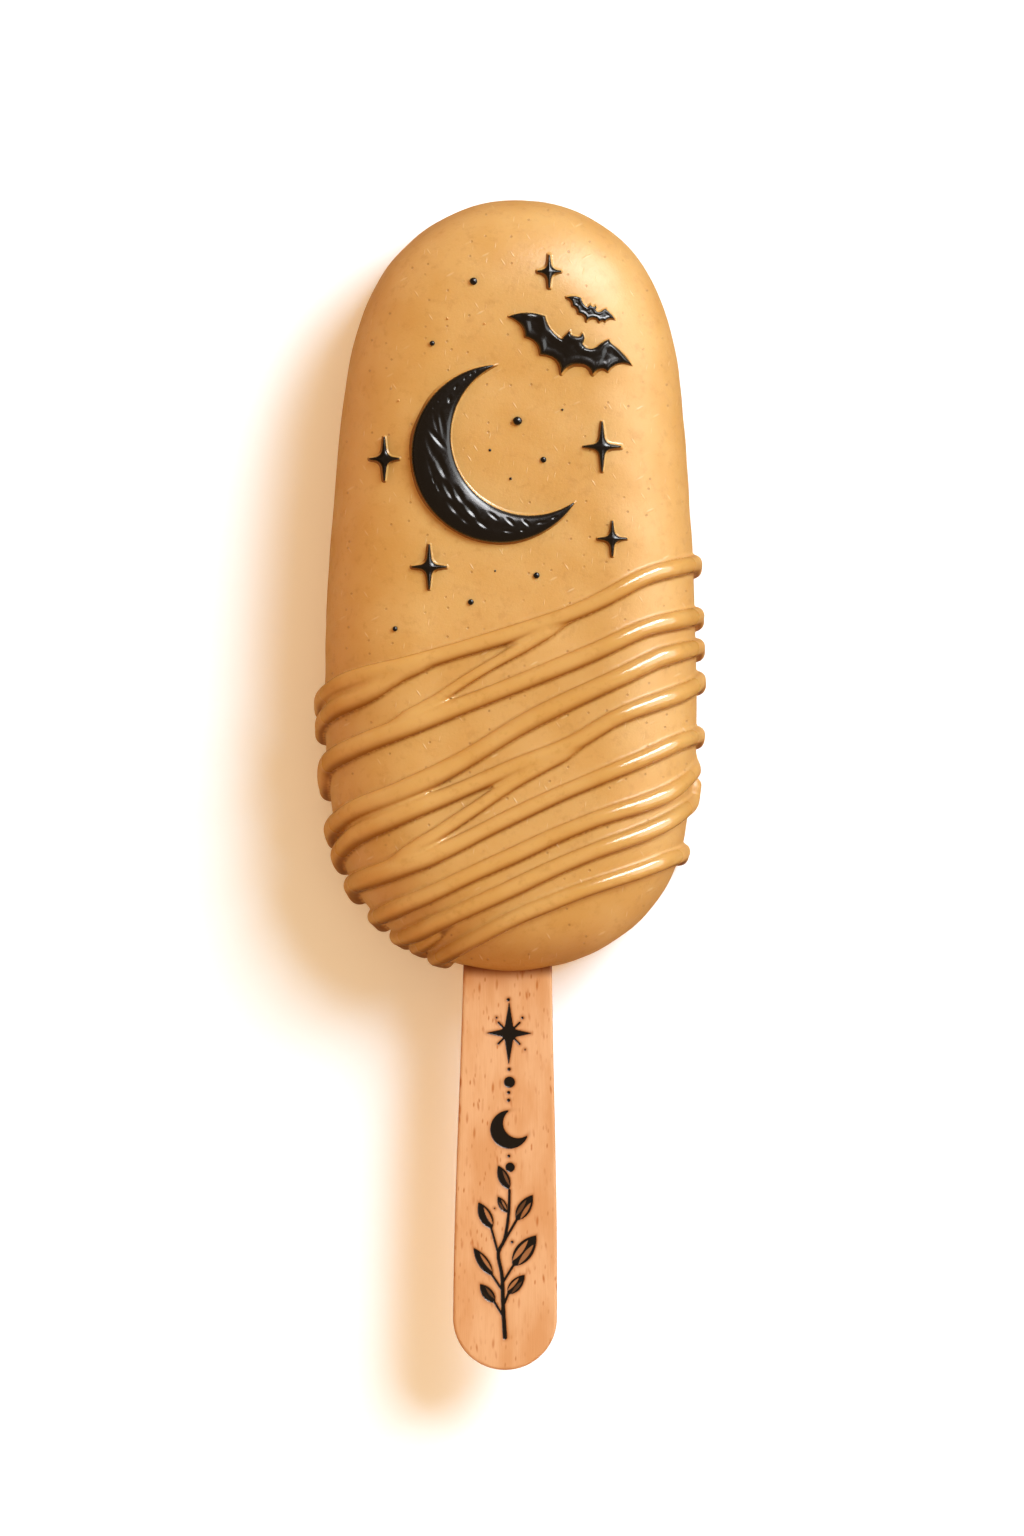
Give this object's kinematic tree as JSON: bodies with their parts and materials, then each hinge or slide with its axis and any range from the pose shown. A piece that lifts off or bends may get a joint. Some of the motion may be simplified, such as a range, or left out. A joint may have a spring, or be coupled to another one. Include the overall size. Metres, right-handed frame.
{
  "type": "cakesicle",
  "caption": "Small coated cake on a flat wooden stick, striped with thick drizzle and set with a crescent moon, bats and stars, lying on its flat back.",
  "frame": {"origin": "middle of the cake's flat back, in the plane that it lies on", "axes": "+X across, +Y along the stick towards the cake's round tip, +Z out of the decorated face"},
  "size_m": [0.0455, 0.1362, 0.0246],
  "materials": {
    "coating": "satin caramel chocolate",
    "black_sugar": "glossy black-brown sugar",
    "birch": "plain sanded birch"
  },
  "bodies": {
    "root": {"coated_cake": "coating", "stick": "birch", "moon": "black_sugar", "bat_large": "black_sugar", "bat_small": "black_sugar", "star_top": "black_sugar", "star_right": "black_sugar", "star_left": "black_sugar", "star_low_left": "black_sugar", "star_low_right": "black_sugar"}
  },
  "joints": []
}
